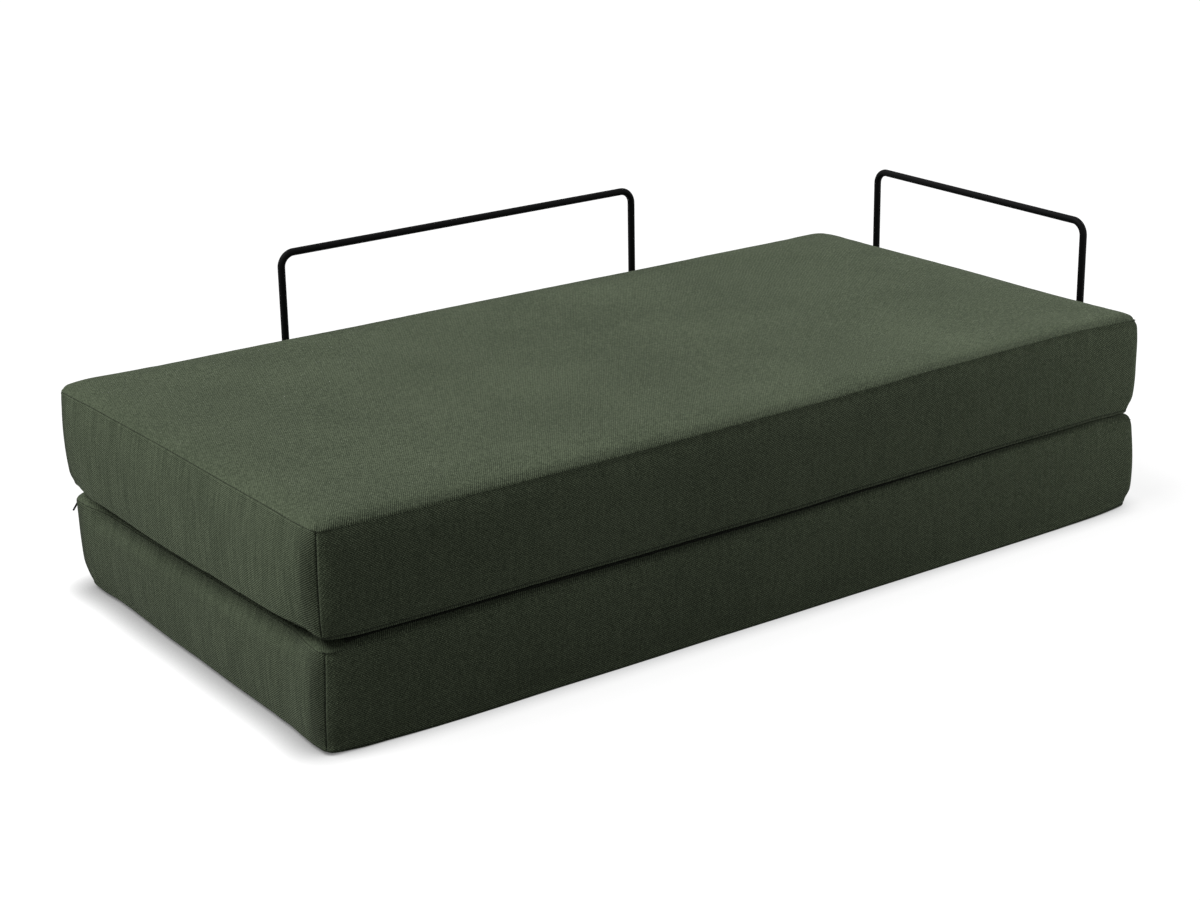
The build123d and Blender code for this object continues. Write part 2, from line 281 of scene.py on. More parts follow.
def corner_share(x, y, reach):
    """E to the minus distance from the nearest square corner over reach."""
    return np.exp(-np.hypot(HALF_LENGTH - np.abs(x), HALF_DEPTH - np.abs(y)) / reach)


def end_share(x, side):
    """Nought inside, eased to one over the last tenth of a metre of one end."""
    return ease((side * x - 0.90) / 0.08)


def rear_share(out):
    """Nought, eased to one where the outline faces the rear."""
    return ease((out[..., 1] - 0.6) / 0.3)


def seat_twist(x, y):
    """Slack twist of the seat: the four corners' heights, blended straight along both sides."""
    u, v = x / (2 * HALF_LENGTH) + 0.5, y / (2 * HALF_DEPTH) + 0.5
    front, rear = (left * (1 - u) + right * u for left, right in (SEAT_TWIST[:2], SEAT_TWIST[2:]))
    return front * (1 - v) + rear * v


def contact(x, y):
    """Height at which the mattresses meet, above its level: raised under the right part of the front edge."""
    return table(x, CONTACT_X, CONTACT_LIFT) * hump(y + HALF_DEPTH, 0.09)


def high_seam(mattress, x, y):
    """Height of the upper seam over the plan: level, with a slow wave and the sags of the folded side."""
    spec = MATTRESSES[mattress]
    level = spec["high_seam"] + 0.6 * MM * np.sin(x * 9 + y * 7 + spec["seed"])
    if mattress == "upper":
        level = level + seat_twist(x, y) - 4 * MM * corner_share(x, y, 0.03) * ease(x * 2)
        return level + table(x, FRONT_SEAM_X, FRONT_SEAM_LIFT) * ease((-y - 0.38) / 0.1)
    front = ease((-y - 0.40) / 0.08) * ease((x + 0.35) / 0.9) * (1 - ease((x - 0.88) / 0.1))
    rear = end_share(x, -1) * ease((y + 0.3) / 0.6) * (1 - 0.3 * ease((y - 0.42) / 0.07))
    return level + contact(x, y) + 5 * MM * (front - rear)


def low_seam(mattress, x, y):
    """Height of the lower seam over the plan: it rises at the corners, and at the wedge of the left end."""
    spec, left = MATTRESSES[mattress], end_share(x, -1)
    if mattress == "upper":
        level = spec["low_seam"] + contact(x, y) + left * table(y, LEFT_FOOT_Y, LEFT_FOOT_LIFT)
        return level + REAR_RISE["upper"] * ease((y - 0.45) / 0.04) * (1 - left)
    ends = np.maximum(6.5 * left, 4.5 * end_share(x, 1))
    rise = np.maximum(7 * corner_share(x, y, 0.15), ends) * MM
    return spec["low_seam"] + np.maximum(rise, REAR_RISE["lower"] * ease((y - 0.42) / 0.06))


def groove(distance):
    """Cross-section of a seam: sunk at the seam itself and a little proud beside it."""
    return -GROOVE_DEPTH * hump(distance, GROOVE_WIDTH) + 0.7 * MM * hump(distance - 4 * MM, 2.5 * MM)


def foot_hollows(x, y, z):
    """Lift the underside to the hollow's ceiling wherever a rail foot lies under it."""
    inside = np.zeros(x.shape, bool)
    slack = 0.2 * MM
    for leg in BACK_LEGS_X:
        inside |= (np.abs(x - leg) <= HOLLOW_HALF + slack) & (y >= HOLLOW_END_Y - slack)
    for leg in ARM_LEGS_Y:
        inside |= (np.abs(y - leg) <= HOLLOW_HALF + slack) & (x >= HOLLOW_END_X - slack)
    return np.where(inside, np.maximum(z, HOLLOW_TOP), z)


class Cushion:
    """Boxed cushion as three grids: the band round the outline, and the two faces inside it.

    Outline: a rectangle with quarter-circle corners. Band: from the lower seam to the upper one, swollen
    outwards by one minus the 2.4th power of the distance from its middle, and leant along x at both ends.
    Faces: from the seam to the flat middle by the product of one minus e to the minus inset over roll at the
    ends, and a flattened quarter ellipse at the front and rear.
    """

    def __init__(self, mattress, lines_x, lines_y, rows, detail):
        self.mattress, self.spec, self.is_upper = mattress, MATTRESSES[mattress], mattress == "upper"
        self.lines_x, self.lines_y, self.rows = lines_x, lines_y, rows
        nx, ny = len(lines_x), len(lines_y)
        i, j = np.arange(nx), np.arange(ny)
        self.ring = (
            np.concatenate([i, np.full(ny - 1, nx - 1), i[-2::-1], np.zeros(ny - 2, int)]),
            np.concatenate([np.zeros(nx, int), j[1:], np.full(nx - 1, ny - 1), j[-2:0:-1]]))
        self.flat_x, self.flat_y = np.meshgrid(lines_x, lines_y, indexing="ij")
        self.plan_x, self.plan_y = round_corners(self.flat_x, self.flat_y)
        x, y = self.plan_x[self.ring], self.plan_y[self.ring]
        self.out = unit(np.stack([x - np.clip(x, -CORE_X, CORE_X), y - np.clip(y, -CORE_Y, CORE_Y), 0 * x], -1))
        steps = np.hypot(np.diff(x, append=x[0]), np.diff(y, append=y[0]))
        self.around = np.concatenate([[0], np.cumsum(steps)])
        self.tips = np.flatnonzero(np.isin(self.ring[0], (0, nx - 1)) & np.isin(self.ring[1], (0, ny - 1)))
        gaps = np.abs(self.around[:-1, None] - self.around[self.tips])
        self.upright = np.minimum(gaps, self.around[-1] - gaps).min(axis=1)
        self.make_band(x[None], y[None], self.upright[None], detail)
        self.make_faces(detail)

    def lean(self, x, y, t):
        """How far a point of the outline stands out of it along x: by both ends' leans and swells."""
        back = y / (2 * HALF_DEPTH) + 0.5
        middle = ease(back / 0.16) * ease((1 - back) / 0.16)
        total = 0
        for side, key in ((-1, "left_end"), (1, "right_end")):
            (foot, head), (rear_foot, rear_head), (more_foot, more_head), bulge = self.spec[key]
            foot = foot + (rear_foot - foot) * back + more_foot * middle
            head = head + (rear_head - head) * back + more_head * middle
            share = ease((x * side - 0.84) / 0.14)
            total = total + side * share * (foot + (head - foot) * t + bulge * 4 * t * (1 - t))
        return total

    def make_band(self, x, y, upright, detail):
        """Band grid: rows from the lower seam to the upper one, columns round the outline."""
        spec, seed, t, out = self.spec, self.spec["seed"], self.rows[:, None], self.out[None]
        low, high = low_seam(self.mattress, x, y), high_seam(self.mattress, x, y)
        over, under = t * (high - low), (1 - t) * (high - low)
        z = low + over
        middle = 4 * t * (1 - t)
        rear = rear_share(out)
        front = out[..., 1] < -0.7
        outer_left = -out[..., 0] * (x < 0) * ease((0.46 - np.abs(y)) / 0.1)
        open_side = (t < 0.5) == self.is_upper
        swell = BULGE * (1 - np.abs(2 * t - 1) ** 2.4 * (1 - outer_left * open_side)) * (1 - rear)
        swell = swell + REAR_BULGE * middle * rear
        calm = 1 - rear * hump(z - ZIP_LEVEL[self.mattress], ZIP_REACH)
        swell = swell - at_corners(spec["pinch"], x, y) * np.sqrt(middle) * hump(upright, PINCH_REACH) * calm
        foot = (1 - ease(over / FOOT_HEIGHT)) * (1 - rear)
        if self.is_upper:
            swell = swell - foot * (1 - outer_left) * 1.5 * MM
        else:
            ahead = np.maximum(-out[..., 1], 0)
            swell = swell - 14 * MM * outer_left * ease((t - 0.74) / 0.26)
            swell = swell + foot * (1 + 8 * ahead - (5 + 4 * ahead) * np.exp(-upright / 0.12)) * MM
        edge = np.minimum(over, under)
        self.seam_near = np.minimum(edge, upright)
        # Painted shade where the end bands turn round the corners: a strip beside each upright seam, strongest at
        # mid height
        turned = np.where(np.abs(out[..., 0]) > 0.72, 1 - ease((upright - 26 * MM) / (24 * MM)), 0.0)
        self.taut_and_shade = turned * middle**0.4
        points = np.stack(np.broadcast_arrays(x, y, z), -1)
        if detail:
            swell = swell + calm * 1.1 * MM * waves(points, 0.32, seed)
            ripple = waves(points, RIPPLE_LENGTH, seed + 1) * np.exp(-edge / RIPPLE_REACH)
            swell = swell + calm * ripple * (0.15 + 0.7 * np.exp(-upright / TIP_REACH)) * MM
        self.band = points + out * swell[..., None]
        pull = at_corners(spec["pull"], x, y) * hump(upright, PULL_REACH)
        pull = pull * (1 - ease(over / at_corners(spec["pull_height"], x, y)))
        nip = at_corners(spec["nip"], x, y) * hump(upright, NIP_REACH) * (1 - ease(under / NIP_HEIGHT))
        inwards = (pull + nip) * 0.7
        self.band[..., 0] += self.lean(x, y, t) - np.sign(x) * inwards
        self.band[..., 1] -= np.sign(y) * inwards
        self.rims = self.band[0].copy(), self.band[-1].copy()
        if detail:
            plain = (front & (t > 0.5)) | (self.is_upper & (outer_left > 0.5) & (t < 0.5))
            self.seam_near = np.where(plain, upright, self.seam_near)
            welt = self.is_upper * WELT * hump(under, WELT) * front * ease((x + 0.75) / 0.35)
            self.band += out * (groove(self.seam_near) + welt)[..., None]
            self.band[..., 2] += 0.8 * GROOVE_DEPTH * (hump(z - low, GROOVE_WIDTH) - hump(high - z, GROOVE_WIDTH))

    def make_faces(self, detail):
        """Face grids over the plan, from the seam up to the flat top and down to the flat underside."""
        spec, seed, x, y = self.spec, self.spec["seed"], self.flat_x, self.flat_y
        off_x, off_y, off_front = HALF_LENGTH - np.abs(x), HALF_DEPTH - np.abs(y), HALF_DEPTH + y
        self.inset = np.minimum(off_x, off_y)
        self.top_near = np.where(off_x > off_front, FAR, self.inset)

        def bend(share, power=0.5):
            return (1 - np.maximum(1 - share, 0) ** 2) ** power

        high, low = high_seam(self.mattress, x, y), low_seam(self.mattress, x, y)
        level, floor = spec["face"] + contact(x, y), spec["floor"] + 0 * x
        if self.is_upper:
            lift = np.maximum(table(x, FRONT_SEAM_X, FRONT_SEAM_LIFT), 0)
            level = spec["face"] + seat_twist(x, y) + 0.4 * lift * hump(off_front, 0.16)
            floor = floor + contact(x, y)
        low_roll, roll, front_roll, left_roll = spec["rolls"]
        end_climb = 1 - np.exp(-off_x / np.where(x < 0, left_roll, roll))
        climb = end_climb * bend((HALF_DEPTH - y) / (1.1 * roll)) * bend(off_front / front_roll, 0.65)
        top = high + (level - high) * climb
        climb = np.where(x < 0, 1 - np.exp(-off_x / (5 * low_roll)), bend(off_x / (1.5 * low_roll)))
        under = low + (floor - low) * climb * bend(off_y / (1.1 * low_roll))
        if detail:
            points = np.stack([self.plan_x, self.plan_y, top], -1)
            if self.is_upper:
                top = top + waves(points, 0.42, seed + 2) * 1.3 * MM * ease(self.inset / 0.12)
            ripple = waves(points, RIPPLE_LENGTH, seed + 3) * np.exp(-self.inset / RIPPLE_REACH)
            top = top + ripple * (0.15 + 0.6 * corner_share(x, y, TIP_REACH)) * MM
        self.top = self.carry_rim(np.stack([self.plan_x, self.plan_y, top], -1), self.rims[1])
        self.under = self.carry_rim(np.stack([self.plan_x, self.plan_y, under], -1), self.rims[0])
        if detail:
            self.top[..., 2] += groove(self.top_near)
            self.under[..., 2] -= groove(self.inset)
        if not self.is_upper:
            self.under[..., 2] = foot_hollows(x, y, self.under[..., 2])
        self.join()

    def carry_rim(self, grid, rim):
        """Move a face's edge to a rim and let that move fade inwards: the four edges' moves, less the corners'."""
        moved = np.zeros_like(grid)
        moved[self.ring] = rim - grid[self.ring]
        near_x = [hump(HALF_LENGTH + side * self.lines_x, RIM_REACH)[:, None, None] for side in (1, -1)]
        near_y = [hump(HALF_DEPTH + side * self.lines_y, RIM_REACH)[None, :, None] for side in (1, -1)]
        total = near_x[0] * moved[:1] + near_x[1] * moved[-1:] + near_y[0] * moved[:, :1] + near_y[1] * moved[:, -1:]
        for i in (0, -1):
            for j in (0, -1):
                total = total - near_x[i] * near_y[j] * moved[i, j]
        return grid + total

    def join(self):
        """The two faces share their rims with the band's first and last rows."""
        self.top[self.ring], self.under[self.ring] = self.band[-1], self.band[0]

    def mesh(self, name):
        """One closed mesh of the three grids, with flat cloth coordinates in metres in its UV map."""
        rows, columns = self.band.shape[:2]
        inner = np.zeros(self.top.shape[:2], bool)
        inner[1:-1, 1:-1] = True
        count = inner.sum()
        turned = np.abs(self.out + np.roll(self.out, -1, 0))
        u = np.stack([self.around[:-1], self.around[1:], self.around[1:], self.around[:-1]], -1)
        u = np.where((turned[:, 0] > turned[:, 1])[:, None], -u, u)
        height = self.rows * (self.spec["high_seam"] - self.spec["low_seam"])
        v = np.stack([height[:-1], height[:-1], height[1:], height[1:]], -1)
        parts = [grid_faces(rows, columns, closed=True)]
        corners = [np.stack(np.broadcast_arrays(u[None], v[:, None]), -1).reshape(-1, 2)]
        flat = cells(np.stack([-self.flat_y, self.flat_x], -1)).reshape(-1, 4, 2)
        for winding, rim, start in ((1, (rows - 1) * columns, rows * columns), (-1, 0, rows * columns + count)):
            index = np.zeros(inner.shape, int)
            index[inner] = start + np.arange(count)
            index[self.ring] = rim + np.arange(columns)
            parts.append(cells(index).reshape(-1, 4)[:, ::winding])
            corners.append(flat[:, ::winding].reshape(-1, 2))
        vertices = np.concatenate([self.band.reshape(-1, 3), self.top[inner], self.under[inner]])
        thing = mesh_object(name, vertices, np.concatenate(parts), np.concatenate(corners))
        near = np.concatenate([self.seam_near.ravel(), self.top_near[inner], self.inset[inner]])
        # Painted shade along the front edge of the top face, fading out from 4 to 26 mm in; none on the underside
        rolled = 0.6 * (1 - ease((HALF_DEPTH + self.flat_y[inner] - 4 * MM) / (22 * MM)))
        give_numbers(thing, "seam_distance", np.minimum(near, FAR))
        give_numbers(thing, "taut_and_shade", np.concatenate([self.taut_and_shade.ravel(), rolled, 0 * rolled]))
        self.face_counts = [len(p) for p in parts]
        return thing

    def read_back(self, vertices):
        """The three grids again, from the vertices of this cushion's own mesh."""
        rows, columns = self.band.shape[:2]
        nx, ny = self.top.shape[:2]
        start = rows * columns
        band, *inners = np.split(vertices, [start, start + (nx - 2) * (ny - 2)])
        grids = [band.reshape(rows, columns, 3)]
        for inner, rim in zip(inners, (-1, 0)):
            face = np.zeros((nx, ny, 3))
            face[1:-1, 1:-1] = inner.reshape(nx - 2, ny - 2, 3)
            face[self.ring] = grids[0][rim]
            grids.append(face)
        return grids

    def band_points(self, shares, around):
        """Points of the finished band at these shares of its height and distances round the outline."""
        columns = cubic_weights(around % self.around[-1], self.around, closed=True)
        return np.einsum("rk,kcd,nc->rnd", cubic_weights(shares, self.rows), self.band, columns)

    def outward(self, around):
        """Direction out of the outline at these distances round it."""
        return cubic_weights(around, self.around, closed=True) @ self.out


def blown_cloth(mattress):
    """Blow the cover up with Cloth on a coarse copy; returns the coarse cushion and how far its grids moved.

    The upper and lower seams are pinned, each point's way is capped, and the moves are smoothed, so what is
    left is the cloth's own soft buckling between the seams.
    """
    coarse = Cushion(
        mattress, spaced(HALF_LENGTH, COARSE_INSETS, COARSE_STEP), spaced(HALF_DEPTH, COARSE_INSETS, COARSE_STEP),
        np.linspace(0, 1, COARSE_ROWS), detail=False)
    thing = coarse.mesh("cloth_trial")
    start = positions(thing)
    rows, columns = coarse.band.shape[:2]
    pinned = np.concatenate([np.arange(columns), (rows - 1) * columns + np.arange(columns)])
    thing.vertex_groups.new(name="seams").add(pinned.tolist(), 1.0, "REPLACE")
    settings = thing.modifiers.new("cloth", "CLOTH").settings
    settings.quality = 4
    settings.mass = 0.3
    settings.tension_stiffness = settings.compression_stiffness = 12
    settings.bending_stiffness = 0.4
    settings.use_pressure = True
    settings.uniform_pressure_force = 4
    settings.shrink_min = -0.003
    settings.vertex_group_mass = "seams"
    settings.effector_weights.gravity = 0
    scene.frame_start, scene.frame_end = 1, CLOTH_FRAMES
    for number in range(1, CLOTH_FRAMES + 1):
        scene.frame_set(number)
    moved = positions(thing.evaluated_get(bpy.context.evaluated_depsgraph_get())) - start
    bpy.data.objects.remove(thing)
    scene.frame_set(1)
    length = np.linalg.norm(moved, axis=1, keepdims=True)
    moved *= np.minimum(1, CLOTH_CAP / np.maximum(length, 1e-9))
    return coarse, [smoothed(grid) for grid in coarse.read_back(moved)]


def fine_cushion(mattress):
    """The finished cushion: fine grids, plus the cloth's buckling carried over from the coarse ones."""
    across = down = ()
    if mattress == "lower":
        across, down = hollow_lines(BACK_LEGS_X, HOLLOW_END_X), hollow_lines(ARM_LEGS_Y, HOLLOW_END_Y)
    lines_x = spaced(HALF_LENGTH, SEAM_INSETS, FINE_STEP, across)
    lines_y = spaced(HALF_DEPTH, SEAM_INSETS, FINE_STEP, down)
    fine = Cushion(mattress, lines_x, lines_y, row_shares(mattress), detail=True)
    coarse, (band, top, _) = blown_cloth(mattress)
    rows = cubic_weights(fine.rows, coarse.rows)
    columns = cubic_weights(fine.around[:-1], coarse.around, closed=True)
    held = rear_share(fine.out)[None] * hump(fine.band[..., 2] - ZIP_LEVEL[mattress], ZIP_REACH)
    fine.band += np.einsum("rk,kcd,nc->rnd", rows, band, columns) * (1 - held)[..., None]
    over_x, over_y = cubic_weights(lines_x, coarse.lines_x), cubic_weights(lines_y, coarse.lines_y)
    fine.top += np.einsum("ri,ijd,cj->rcd", over_x, top, over_y)
    fine.join()
    return fine


def settle(fine):
    """Keep the faces that touch the floor or the other mattress on their own side of the contact.

    The front bands touch when the bed is open: past the free swell, theirs nears a limit by the give times one
    minus e to the minus excess over the give.
    """
    for grid in (fine.band, fine.top, fine.under):
        excess = np.maximum(-HALF_DEPTH - grid[..., 1] - FRONT_FREE, 0)
        grid[..., 1] += excess - FRONT_GIVE * (1 - np.exp(-excess / FRONT_GIVE))
        lift = contact(grid[..., 0], grid[..., 1])
        low, high = (lift, CROWN) if fine.is_upper else (0, lift)
        grid[..., 2] = np.clip(grid[..., 2], fine.spec["floor"] + low, fine.spec["face"] + high)


class Value:
    """A number or vector on a surface; sums and products of it add Math nodes."""

    def __init__(self, paint, socket):
        self.paint, self.socket = paint, socket

    def math(self, operation, *others):
        return self.paint.node("Math", dict(enumerate((self, *others))), operation=operation)

    def __add__(self, other):
        return self.math("ADD", other)

    def __mul__(self, other):
        return self.math("MULTIPLY", other)

    def __sub__(self, other):
        return self.math("SUBTRACT", other)

    def __rsub__(self, other):
        return self.paint.node("Math", {0: other, 1: self}, operation="SUBTRACT")

    def __pow__(self, other):
        return self.math("POWER", other)

    __radd__, __rmul__ = __add__, __mul__

    def sine(self):
        return self.math("SINE")

    def clamped(self):
        return self.paint.node("Clamp", {0: self})


class Paint:
    """Material or world whose nodes are added one call at a time."""

    def __init__(self, name, kind=bpy.data.materials):
        self.owner = kind.new(name)
        self.owner.use_nodes = True
        self.tree = self.owner.node_tree
        self.tree.nodes.clear()

    def node(self, kind, sockets=None, output=0, **settings):
        """Add a node, set its own settings first, then give its sockets values or links."""
        made = self.tree.nodes.new("ShaderNode" + kind)
        for key, value in settings.items():
            setattr(made, key, value)
        for key, value in (sockets or {}).items():
            if isinstance(value, Value):
                self.tree.links.new(value.socket, made.inputs[key])
            else:
                made.inputs[key].default_value = value
        return Value(self, made.outputs[output])

    def place(self):
        """Position on the piece, in metres."""
        return self.node("TexCoord", output="Object")

    def number(self, name):
        """The number that the piece's vertices have under a name."""
        return self.node("Attribute", output="Fac", attribute_name=name)

    def parts(self, vector):
        """The three numbers of a vector."""
        made = self.node("SeparateXYZ", {0: vector}).socket.node
        return [Value(self, made.outputs[k]) for k in range(3)]

    def joined(self, x, y, z=0.0):
        """A vector of three numbers."""
        return self.node("CombineXYZ", {0: x, 1: y, 2: z})

    def noise(self, vector, scale, detail=3.0, rough=0.55):
        """Soft random pattern about 0.5."""
        return self.node("TexNoise", {"Vector": vector, "Scale": scale, "Detail": detail, "Roughness": rough})

    def seen(self):
        """One to the camera and in mirrors and glass, nought to every other ray."""
        path = self.node("LightPath").socket.node
        camera, glossy, through = (
            Value(self, path.outputs[f"Is {ray} Ray"]) for ray in ("Camera", "Glossy", "Transmission"))
        return (camera + glossy + through).clamped()

    def skin(self, share, dark, light, rough, height, depth, tone=1.0, **sockets):
        """End in one Principled shader: a tone of the colour between two, and raised by height times depth."""
        colour = self.node("Mix", {0: share, 6: (*dark, 1), 7: (*light, 1)}, 2, data_type="RGBA")
        return self.end(self.node("BsdfPrincipled", {
            "Base Color": self.node("VectorMath", {0: colour, "Scale": tone}, operation="SCALE"),
            "Roughness": rough,
            "Normal": self.node("Bump", {"Height": height, "Distance": depth, "Strength": 1.0}),
            **{key.replace("_", " "): value for key, value in sockets.items()}}))

    def end(self, shader, kind="Material"):
        """End in a shader; returns the material or world."""
        out = self.tree.nodes.new("ShaderNodeOutput" + kind)
        self.tree.links.new(shader.socket, out.inputs["Surface"])
        return self.owner


RIB_PITCH, RIB_DEPTH, RIB_SLANT = 5.8 * MM, 1.2 * MM, 1.38


def ribbed_cloth(name, dark, light, shaded_end_tone=1.0):
    """Soft cloth with fine slanted ribs, a fuzzy surface, cloudy nap and faint upright streaks.

    Ribs: sine of (u + slant v) over the pitch, times a slower sine along the rib, clearest on the front and
    where the cloth is drawn tight round an edge, and brushed under on the ends and the seat. Colour: dark to light
    by clouds, streaks, grain and fuzz, and darker between ribs. Painted shade on top of that: in the seams, where
    the cloth turns round an edge, on the hinge cloth, on the upward faces, and on the ends by the shaded end tone.
    """
    paint = Paint(name)
    place = paint.place()
    _, toward, upward = paint.parts(paint.node("TexCoord", output="Normal"))
    front, level = toward * toward, upward * upward
    end = (1.0 - front - level).clamped()
    u, v, _ = paint.parts(paint.node("UVMap", uv_map="cloth"))
    taut_and_shade, distance = paint.number("taut_and_shade"), paint.number("seam_distance")
    warp = paint.noise(place, 22.0, 2.0) * 9.0
    rib = ((u + v * RIB_SLANT) * (TURN / RIB_PITCH) + warp).sine() * 0.5 + 0.5
    knot = ((u * RIB_SLANT - v) * (TURN / (RIB_PITCH * 1.6)) + warp * 0.8).sine() * 0.5 + 0.5
    yarn = rib * (knot * 0.5 + 0.5)
    fuzz = paint.noise(place, 420.0, 2.0, 0.7)
    grain = paint.noise(place, 170.0, 3.0, 0.7)
    cloud = paint.noise(place, 3.2, 5.0, 0.6)
    streak = paint.noise(paint.joined(u * 150.0, v * 8.0), 1.0, 2.0, 0.6)
    nap = (
        (cloud - 0.5) * (level * 0.5 + 0.7) + (streak - 0.5) * (end * 1.7 + front * 0.8 + level * 0.15)
        + (grain - 0.5) * (front * 2.4 + end * 1.2 + level * 3.4)
        + (fuzz - 0.5) * (front * 3.4 + end * 1.6 + level * 3.4) + 0.5).clamped()
    # Painted shade in the seam grooves: up to 60 % darker within 1.6 mm of a seam
    sunk = (1.0 - distance * (1 / (1.6 * MM))).clamped()
    contrast = front * 1.3 + end * 0.2 + level * 0.24 + taut_and_shade * 0.6
    # Painted shade: upward faces lose 0.07 of their tone, and the ends lose one minus the shaded end tone
    tone = (yarn - 0.375) * contrast + 0.92 - level * 0.07 - end * (1.0 - shaded_end_tone)
    return paint.skin(
        nap, dark, light, fuzz * 0.12 + 0.84, yarn + fuzz * 0.4 + grain * 0.5, RIB_DEPTH,
        tone * (1.0 - sunk * 0.6) * (1.0 - taut_and_shade * 0.45),
        Specular_IOR_Level=0.08, Sheen_Weight=0.03, Sheen_Roughness=0.6)


def plain_weave(name, dark, light, pitch):
    """Flat over-and-under weave on Object coordinates: product of two sines, with fuzz."""
    paint = Paint(name)
    place = paint.place()
    x, y, z = paint.parts(place)
    yarn = ((x + y) * (TURN / pitch)).sine() * ((z + y - x) * (TURN / pitch)).sine() * 0.5 + 0.5
    fuzz = paint.noise(place, 500.0)
    return paint.skin(
        fuzz, dark, light, fuzz * 0.1 + 0.85, yarn + fuzz * 0.5, 0.3 * MM, yarn * 0.4 + 0.75,
        Specular_IOR_Level=0.15)


def powder_coat(name, dark, light):
    """Matt powder coat: a fine pebbled skin with faint rubbed patches."""
    paint = Paint(name)
    pebble, patch = paint.noise(paint.place(), 900.0, 2.0), paint.noise(paint.place(), 22.0)
    return paint.skin(patch, dark, light, patch * 0.12 + 0.55, pebble, 0.12 * MM, Specular_IOR_Level=0.06)


def satin_metal(name, dark, light, rough, streaks):
    """Turned or rolled metal: noise drawn out along z, streaks times as fine across as along."""
    paint = Paint(name)
    x, y, z = paint.parts(paint.place())
    line = paint.noise(paint.joined(x * streaks, y * streaks, z), 40.0)
    return paint.skin(line, dark, light, line * 0.15 + rough, line, 0.05 * MM, Metallic=1.0)


def moulded(name, dark, light, rough, scale):
    """Moulded plastic or rubber: an even skin with fine pits."""
    paint = Paint(name)
    pits = paint.noise(paint.place(), scale)
    return paint.skin(pits, dark, light, pits * 0.1 + rough, pits, 0.08 * MM, Specular_IOR_Level=0.3)


GREENS = (0.060, 0.078, 0.046), (0.130, 0.160, 0.100)
COVER = ribbed_cloth("green_ribbed_cloth", *GREENS)
# Cover of the lower mattress, with painted shade on its ends: 0.15 off their tone
LOWER_COVER_SHADED_ENDS = ribbed_cloth("lower_ribbed_cloth_shaded_ends", *GREENS, shaded_end_tone=0.85)
UNDERSIDE = plain_weave("underside_cloth", (0.012, 0.014, 0.012), (0.03, 0.034, 0.03), 2.4 * MM)
# Hinge cloth in colours far darker than the cover: painted shade for the deep gap between the mattresses
HINGE_CLOTH_IN_SHADE = ribbed_cloth("hinge_cloth", (0.013, 0.017, 0.010), (0.028, 0.035, 0.022))
ZIP_TAPE = plain_weave("zip_tape", (0.018, 0.022, 0.017), (0.035, 0.042, 0.032), 1.2 * MM)
THREAD = plain_weave("sewing_thread", (0.010, 0.012, 0.008), (0.022, 0.027, 0.018), 0.8 * MM)
ZIP_TEETH = moulded("zip_teeth", (0.010, 0.011, 0.010), (0.022, 0.024, 0.021), 0.35, 300.0)
ZIP_METAL = satin_metal("zip_metal", (0.018, 0.018, 0.019), (0.035, 0.035, 0.036), 0.38, 12.0)
ROD_BLACK = powder_coat("black_powder_coat", (0.0015, 0.0015, 0.0016), (0.0035, 0.0035, 0.0037))
SCREW_STEEL = satin_metal("screw_steel", (0.42, 0.42, 0.43), (0.56, 0.56, 0.57), 0.28, 3.0)
PAD_RUBBER = moulded("pad_rubber", (0.010, 0.010, 0.010), (0.024, 0.024, 0.024), 0.7, 700.0)

# Width of the cover's green cloth that turns under the lower mattress
HEM = 40 * MM


def make_cushion(mattress):
    """One mattress as a closed cushion that stands for its cover, wadding and foam."""
    fine = fine_cushion(mattress)
    settle(fine)
    thing = fine.mesh(f"{mattress}_cushion")
    dress(thing, fine.spec["body"], "cover_fabric", COVER if fine.is_upper else LOWER_COVER_SHADED_ENDS, UNDERSIDE)
    if not fine.is_upper:
        index = np.zeros(sum(fine.face_counts), np.int32)
        index[-fine.face_counts[-1]:] = (fine.inset[:-1, :-1] > HEM).ravel()
        thing.data.polygons.foreach_set("material_index", index)
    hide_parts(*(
        f"{mattress}_{part}" for part in (
            "top_panel", "bottom_panel", "front_band", "rear_band", "left_band", "right_band",
            "top_padding", "bottom_padding", "foam_core")))
    return fine


SPINDLE_SIDES, SPINDLE_RINGS = 6, np.array([-0.72, 0.0, 0.72])
STITCH_PITCH, STITCH_HALVES = 6 * MM, mm(1.7, 0.4, 0.35)
TOOTH_PITCH, TOOTH_HALVES, TOOTH_SET, ZIP_MARGIN = 2.4 * MM, mm(1.6, 0.62, 0.75), 0.9 * MM, 16 * MM


def spindles(name, body, slot, paint, middles, along, out, halves):
    """Many small spindles: three rings of an ellipse along each direction, closed at both ends by a point."""
    half_length, half_width, half_height = halves
    n = SPINDLE_SIDES
    girth = np.sqrt(1 - SPINDLE_RINGS**2)[:, None]
    angles = np.arange(n) * TURN / n
    side = unit(np.cross(along, out))
    out = np.cross(side, along)
    across, up = np.cos(angles) * girth * half_width, np.sin(angles) * girth * half_height
    rings = (
        middles[:, None, None] + along[:, None, None] * (SPINDLE_RINGS * half_length)[:, None, None]
        + side[:, None, None] * across[..., None] + out[:, None, None] * up[..., None]
    ).reshape(len(middles), -1, 3)
    tips = np.stack([middles - along * half_length, middles + along * half_length], 1)
    vertices = np.concatenate([rings, tips], 1)
    first_tip, last_ring = 3 * n, 2 * n
    template = grid_faces(3, n, closed=True)[:, ::-1].tolist()
    template += [[first_tip, k, (k + 1) % n] for k in range(n)]
    template += [[first_tip + 1, last_ring + (k + 1) % n, last_ring + k] for k in range(n)]
    count = vertices.shape[1]
    faces = [[k * count + i for i in face] for k in range(len(middles)) for face in template]
    return dress(mesh_object(name, vertices, faces), body, slot, paint)


